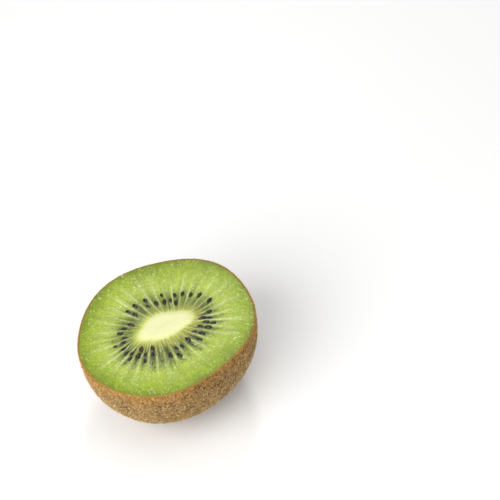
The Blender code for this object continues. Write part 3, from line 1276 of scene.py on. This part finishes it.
        # Each hair follows its heading, leans to its tuft's middle, and rises in a drooping arc.
        along = shape[:, 2]
        rise = lift[:, None] * length[:, None] * along * (1.0 - self.droop * along) - self.root_depth
        points = root[:, None, :] + tip[:, None, :] * along[:, None]
        points = points + pull[:, None, :] * (along**1.5)[:, None]
        points = points + normal[:, None, :] * rise[:, :, None]
        for way, place in ((across, shape[:, 0]), (normal, shape[:, 1])):
            points = points + way[:, None, :] * (place * width[:, None])[:, :, None]
        highest = self.form.height + self.over_edge
        points[:, :, 2] = np.clip(points[:, :, 2], self.over_floor, highest)

        name = f"fuzz_{self.number}"
        mesh = repeated(name, template, points)
        values = np.empty((count, len(shape), 3))
        values[:, :, 0] = tuft_tone[tuft][:, None]
        values[:, :, 1] = along
        values[:, :, 2] = draw.uniform(0.0, 1.0, count)[:, None]
        keep_vector(mesh, "hair", values.reshape(-1, 3))
        return new_piece(name, mesh, self.finish.material())


@dataclass
class StalkEnd:
    """The dry stub of the stalk in the hollow below, with the dried leaflets round it."""

    form: FruitForm
    radius: float = 3.0 * MM
    gap: float = 0.4 * MM
    scar_radius: float = 1.6 * MM
    scar_depth: float = 0.35 * MM
    steps: int = 48
    roughness: float = 0.12 * MM
    leaflets: int = 5
    leaflet_length: float = 2.7 * MM
    leaflet_width: float = 1.5 * MM
    leaflet_thickness: float = 0.08 * MM
    leaflet_curl: float = 0.3 * MM
    leaflet_droop: float = 0.45 * MM
    leaflet_height: float = 0.75 * MM
    leaflet_start: float = 2.2 * MM
    over_floor: float = 0.05 * MM
    draw: int = 9
    finish: StemFinish = field(default_factory=StemFinish)

    def middle(self) -> np.ndarray:
        """x and y of the stalk's axis."""
        return np.array(self.form.lean) - self.form.middle()

    def stub(self) -> Mesh:
        """The stub: a turned profile with a rough outside and a sunken scar."""
        top = self.form.hollow_depth + 0.2 * MM
        rim = self.radius - self.gap
        profile = [
            (0.0, top),
            (self.radius, top),
            (self.radius, self.form.hollow_depth),
            (self.radius - 0.1 * MM, 0.9 * MM),
            (rim, self.gap + 0.1 * MM),
            (rim - 0.2 * MM, self.gap),
            (self.scar_radius + 0.4 * MM, self.gap),
            (self.scar_radius, self.gap + 0.1 * MM),
            (self.scar_radius * 0.6, self.gap + self.scar_depth * 0.8),
            (self.scar_radius * 0.3, self.gap + self.scar_depth * 0.7),
            (0.0, self.gap + self.scar_depth),
        ]
        mesh = spun("stalk_end", profile, self.steps)
        points = points_of(mesh)
        rough = noise_at(points, 0.7 * MM)
        outward = np.hypot(points[:, 0], points[:, 1]) / self.radius
        points[:, :2] *= (1.0 + 0.08 * rough * outward)[:, None]
        points[:, 2] += rough * self.roughness
        points[:, :2] += self.middle()
        points[:, 2] = np.maximum(points[:, 2], self.over_floor)
        reshape(mesh, points)
        return mesh

    def leaflet(self) -> Mesh:
        """One dried leaflet along +X: a small sheet, pointed, curled and given a thickness."""
        sheet = bmesh.new()
        bmesh.ops.create_grid(sheet, x_segments=8, y_segments=6, size=0.5)
        for point in sheet.verts:
            out = point.co.x + 0.5
            side = point.co.y * 2.0
            narrow = max(0.05, (1.0 - out) ** 0.6)
            point.co.x = out * self.leaflet_length
            point.co.y = side * narrow * self.leaflet_width / 2.0
            point.co.z = self.leaflet_curl * side * side * narrow - self.leaflet_droop * out * out
        bmesh.ops.recalc_face_normals(sheet, faces=sheet.faces)
        bmesh.ops.solidify(sheet, geom=sheet.faces, thickness=self.leaflet_thickness)
        bmesh.ops.recalc_face_normals(sheet, faces=sheet.faces)
        return settled("leaflet", sheet)

    def build(self) -> list[Piece]:
        """Makes the stub and the ring of leaflets."""
        material = self.finish.material(tuple(self.middle()))
        stub = new_piece("stalk_end", self.stub(), material)
        draw = random.Random(self.draw)
        template = self.leaflet()
        shape = points_of(template)
        copies = []
        for number in range(self.leaflets):
            turn = (number + draw.uniform(-0.15, 0.15)) * math.tau / self.leaflets
            place = Matrix.Translation((*self.middle(), self.leaflet_height))
            place = place @ Matrix.Rotation(turn, 4, "Z")
            place = place @ Matrix.Translation((self.leaflet_start, 0.0, 0.0))
            place = place @ Matrix.Rotation(draw.uniform(-0.4, 0.4), 4, "X")
            copies.append(moved(shape, place @ Matrix.Scale(draw.uniform(0.75, 1.1), 4)))
        points = np.array(copies)
        points[:, :, 2] = np.maximum(points[:, :, 2], self.over_floor)
        leaflets = new_piece("dried_leaflets", repeated("dried_leaflets", template, points), material)
        return [stub, leaflets]


@dataclass(frozen=True)
class Lamp:
    """A soft round light that faces the fruit; its angles are in degrees and its power in watts."""

    name: str
    azimuth: float
    elevation: float
    distance: float
    size: float
    power: float

    def build(self, target: Vector) -> None:
        """Hangs the light at its distance from the target, turned to face it."""
        data = bpy.data.lights.new(self.name, "AREA")
        data.shape = "DISK"
        data.size = self.size
        data.energy = self.power
        back = direction(math.radians(self.azimuth), math.radians(self.elevation))
        light = bpy.data.objects.new(self.name, data)
        light.location = target + back * self.distance
        light.rotation_mode = "QUATERNION"
        light.rotation_quaternion = (-back).to_track_quat("-Z", "Y")
        bpy.context.scene.collection.objects.link(light)


@dataclass
class Studio:
    """The floor, the lights and the camera at the photograph's angle."""

    form: FruitForm
    azimuth: float = math.radians(-35.1)
    elevation: float = math.radians(48.0)
    roll: float = math.radians(-8.23)
    distance: float = 500.0 * MM
    pixels_per_metre: float = 3460.0
    face_pixel: Pair = (165.21, 324.93)
    sensor: float = 36.0
    floor_radius: float = 3.0
    surround: float = 0.35
    lamps: tuple[Lamp, ...] = (
        Lamp("key_light", azimuth=-78.0, elevation=36.0, distance=0.55, size=0.66, power=3.82),
        Lamp("top_light", azimuth=20.0, elevation=78.0, distance=0.6, size=0.45, power=0.72),
        Lamp("back_light", azimuth=130.0, elevation=50.0, distance=0.5, size=0.1, power=0.44),
    )
    finish: FloorFinish = field(default_factory=FloorFinish)

    def floor(self) -> None:
        """A large plain disc under the fruit."""
        disc = bmesh.new()
        bmesh.ops.create_circle(disc, cap_ends=True, segments=96, radius=self.floor_radius)
        floor = new_piece("floor", settled("floor", disc), self.finish.material())

    def camera(self) -> None:
        """Places the camera so that the cut face lies at its pixel of the photograph."""
        back = direction(self.azimuth, self.elevation)
        level = Vector((math.cos(self.azimuth), math.sin(self.azimuth), 0.0))
        rise = back.cross(level)
        right = level * math.cos(self.roll) + rise * math.sin(self.roll)
        up = rise * math.cos(self.roll) - level * math.sin(self.roll)
        focal = self.pixels_per_metre * self.distance
        half = PHOTO_PIXELS / 2.0
        off_right = (self.face_pixel[0] - half) / focal * self.distance
        off_up = (half - self.face_pixel[1]) / focal * self.distance
        centre = Vector((*-self.form.middle(), self.form.height))
        data = bpy.data.cameras.new("camera")
        data.sensor_width = self.sensor
        data.lens = self.sensor * focal / PHOTO_PIXELS
        data.clip_start = 0.01
        data.clip_end = 20.0
        camera = bpy.data.objects.new("camera", data)
        camera.matrix_world = Matrix.Translation(
            centre - right * off_right - up * off_up + back * self.distance
        ) @ Matrix((right, up, back)).transposed().to_4x4()
        bpy.context.scene.collection.objects.link(camera)
        bpy.context.scene.camera = camera

    def world(self) -> None:
        """An even, pale surrounding."""
        world = bpy.data.worlds.new("studio")
        world.use_nodes = True
        background = world.node_tree.nodes["Background"]
        background.inputs["Color"].default_value = (1.0, 1.0, 1.0, 1.0)
        background.inputs["Strength"].default_value = self.surround
        bpy.context.scene.world = world

    def build(self) -> None:
        """Sets up the floor, the surrounding, the lights and the camera."""
        self.floor()
        self.world()
        for lamp in self.lamps:
            lamp.build(Vector((0.0, 0.0, self.form.height / 2.0)))
        self.camera()
        bpy.context.scene.view_settings.view_transform = "Standard"


def main() -> None:
    """Builds the pieces in order and reports each of them."""
    logging.basicConfig(level=logging.INFO, format="%(name)s: %(message)s")
    form = FruitForm()
    seeds = SeedPlan().places(form)
    hand_over(CutFlesh(form, seeds).build(), stands_for=True)
    hand_over(SkinShell(form).build(), stands_for=True)
    hand_over(SeedRing(form, seeds).build(), stands_for=True)
    for number, kind in enumerate((DOWN, DOWN, LONG), start=1):
        hand_over(Fuzz(form, number, kind).build())
    for piece in StalkEnd(form).build():
        hand_over(piece)
    Studio(form).build()


if __name__ == "__main__":
    main()
